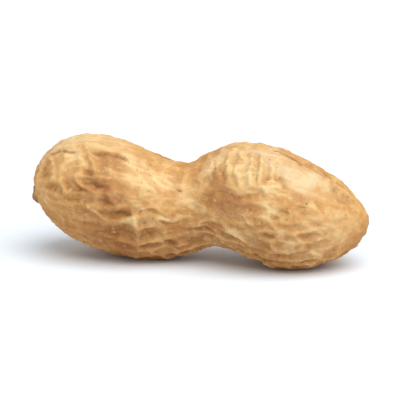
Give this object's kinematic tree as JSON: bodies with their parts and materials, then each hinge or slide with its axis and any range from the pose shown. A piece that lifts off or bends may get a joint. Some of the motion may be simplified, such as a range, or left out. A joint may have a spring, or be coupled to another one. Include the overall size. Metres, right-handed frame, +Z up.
{
  "type": "peanut",
  "caption": "Whole dry peanut pod with two lobes and a narrow waist, ribbed net-veined shell, lying on its side.",
  "frame": {"origin": "on the surface that the pod lies on, under the middle of its bounding box", "axes": "+X along the pod, from its stem end to its beak; +Y across it, away from the side that shows best; +Z up"},
  "size_m": [0.0446, 0.0172, 0.0163],
  "materials": {
    "dry_shell": "matte"
  },
  "bodies": {
    "root": {"peanut_pod": "dry_shell"}
  },
  "joints": []
}
